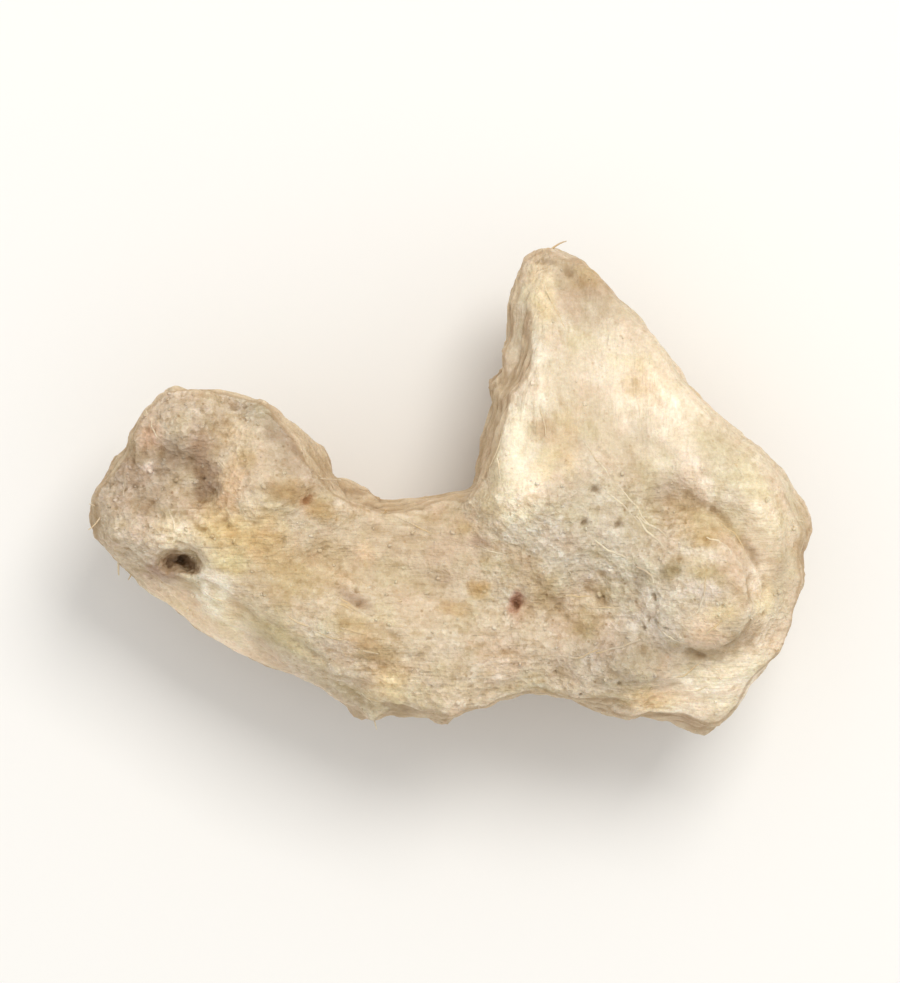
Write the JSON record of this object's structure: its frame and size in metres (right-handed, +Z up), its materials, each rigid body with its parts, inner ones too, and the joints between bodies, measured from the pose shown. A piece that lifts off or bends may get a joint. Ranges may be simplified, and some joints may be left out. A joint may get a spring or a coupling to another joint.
{
  "type": "dried ginger root piece",
  "caption": "Lobed chunk of dried ginger root cut lengthwise: a thick stub with a tapering side branch, pale mealy cut face on top and wrinkled, ringed skin below.",
  "frame": {"origin": "middle of the bounding box in X and Y, on the surface that the chunk lies on", "axes": "+Z up out of the cut face; +X along the thick stub, from its left knob to its swollen end; +Y the way the side branch points"},
  "size_m": [0.0214, 0.0144, 0.0082],
  "materials": {
    "dried_root": "matte"
  },
  "bodies": {
    "root": {"ginger_root": "dried_root"}
  },
  "joints": []
}
